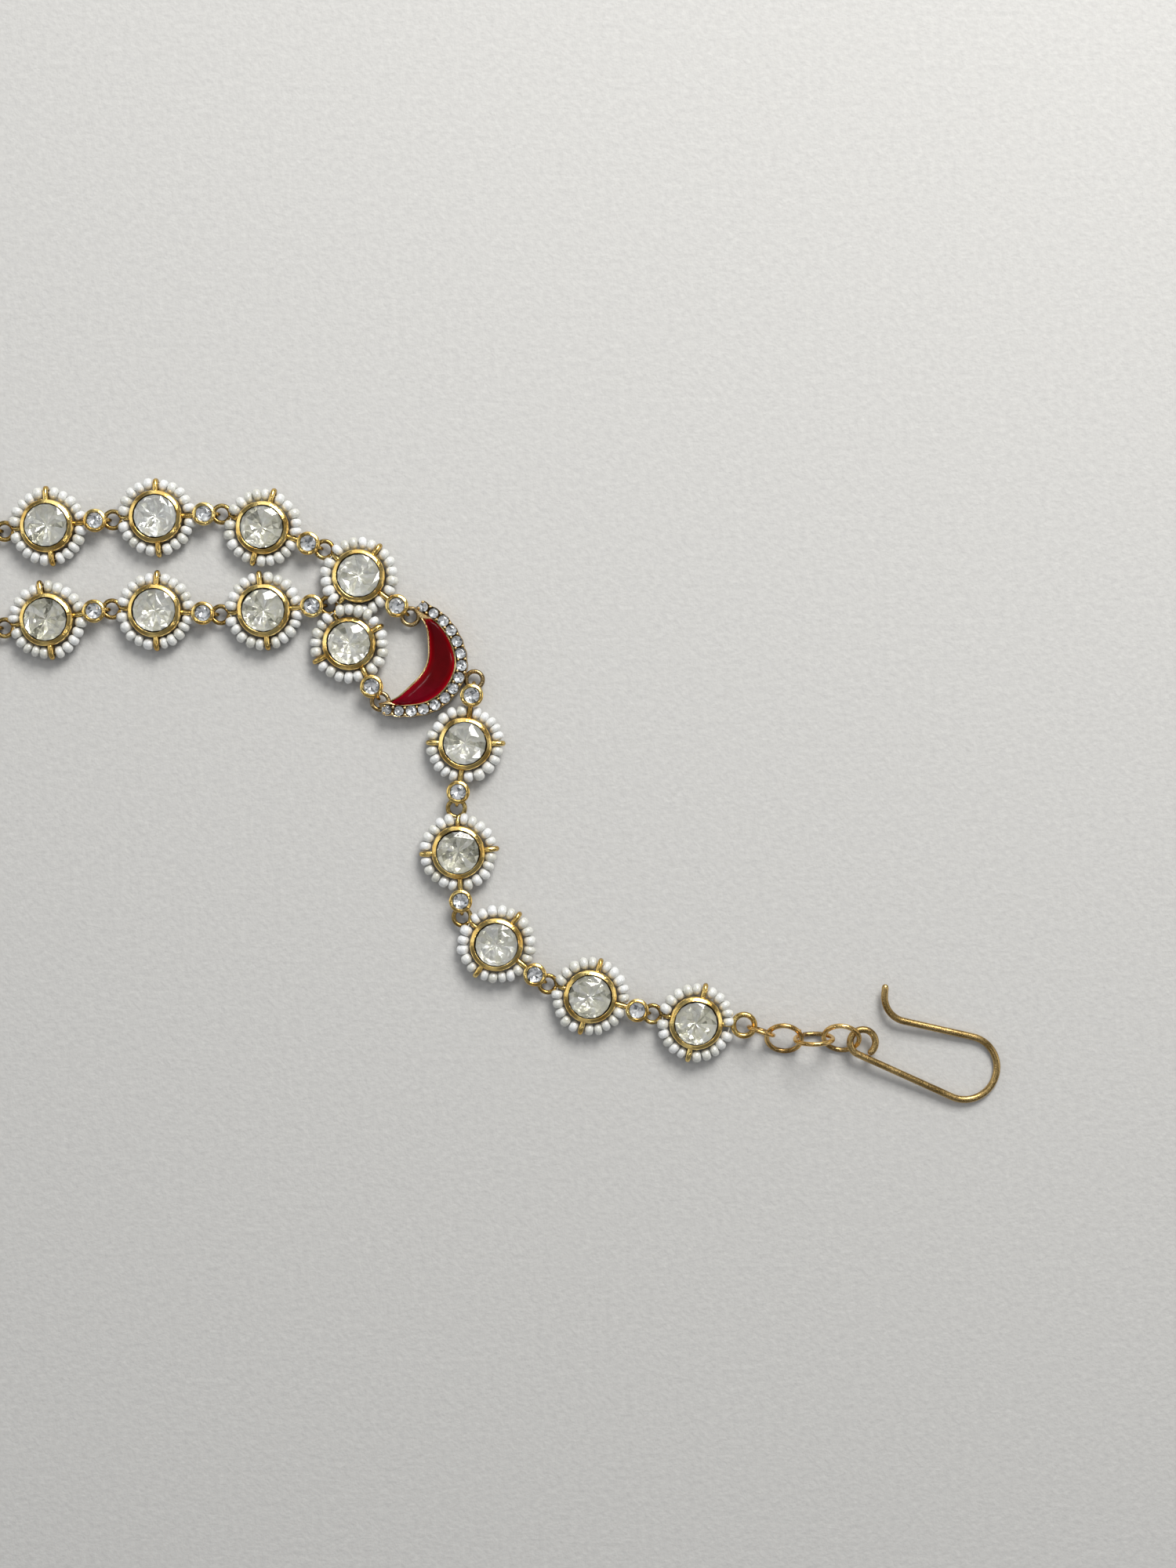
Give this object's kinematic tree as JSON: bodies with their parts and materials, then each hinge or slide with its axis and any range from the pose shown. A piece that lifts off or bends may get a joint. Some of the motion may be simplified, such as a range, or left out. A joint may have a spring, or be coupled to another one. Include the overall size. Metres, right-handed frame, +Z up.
{
  "type": "matha patti",
  "caption": "Forehead and hair jewel: two rows of bezel-set stones in bead halos join at enamelled crescents and end in chains with hooks.",
  "frame": {"origin": "on the ground, under the middle of the box that holds the whole ornament as it lies", "axes": "+X along the ornament's length towards the right hook, +Y from the hooks' side towards the top row, +Z up out of the stones' faces"},
  "size_m": [0.3246, 0.1004, 0.0061],
  "materials": {
    "gold_setting": "bright gold plate, polished, warmer and darker low on the walls",
    "gold_link": "gold plate, satin from handling",
    "antique_hook": "antique brass, darkened, worn bright on the edges",
    "red_enamel": "deep red glossy enamel over metal",
    "clear_stone": "clear foil-backed faceted stone",
    "pearly_bead": "pearly white glass seed bead",
    "bead_thread": "fine waxed thread"
  },
  "bodies": {
    "root": {"upper_station_1_right": "gold_setting", "upper_station_2_right": "gold_setting", "upper_station_3_right": "gold_setting", "upper_station_4_right": "gold_setting", "lower_station_1_right": "gold_setting", "lower_station_2_right": "gold_setting", "lower_station_3_right": "gold_setting", "lower_station_4_right": "gold_setting", "tail_station_1_right": "gold_setting", "tail_station_2_right": "gold_setting", "tail_station_3_right": "gold_setting", "tail_station_4_right": "gold_setting", "tail_station_5_right": "gold_setting", "crescent_right": "gold_setting", "crescent_enamel_right": "red_enamel", "chain_link_1_right": "gold_link", "chain_link_2_right": "gold_link", "chain_link_3_right": "gold_link", "chain_link_4_right": "gold_link", "hook_right": "antique_hook", "upper_station_1_left": "gold_setting", "upper_station_2_left": "gold_setting", "upper_station_3_left": "gold_setting", "upper_station_4_left": "gold_setting", "lower_station_1_left": "gold_setting", "lower_station_2_left": "gold_setting", "lower_station_3_left": "gold_setting", "lower_station_4_left": "gold_setting", "tail_station_1_left": "gold_setting", "tail_station_2_left": "gold_setting", "tail_station_3_left": "gold_setting", "tail_station_4_left": "gold_setting", "tail_station_5_left": "gold_setting", "crescent_left": "gold_setting", "crescent_enamel_left": "red_enamel", "chain_link_1_left": "gold_link", "chain_link_2_left": "gold_link", "chain_link_3_left": "gold_link", "chain_link_4_left": "gold_link", "hook_left": "antique_hook", "upper_centre_link": "gold_setting", "lower_centre_link": "gold_setting"}
  },
  "joints": []
}
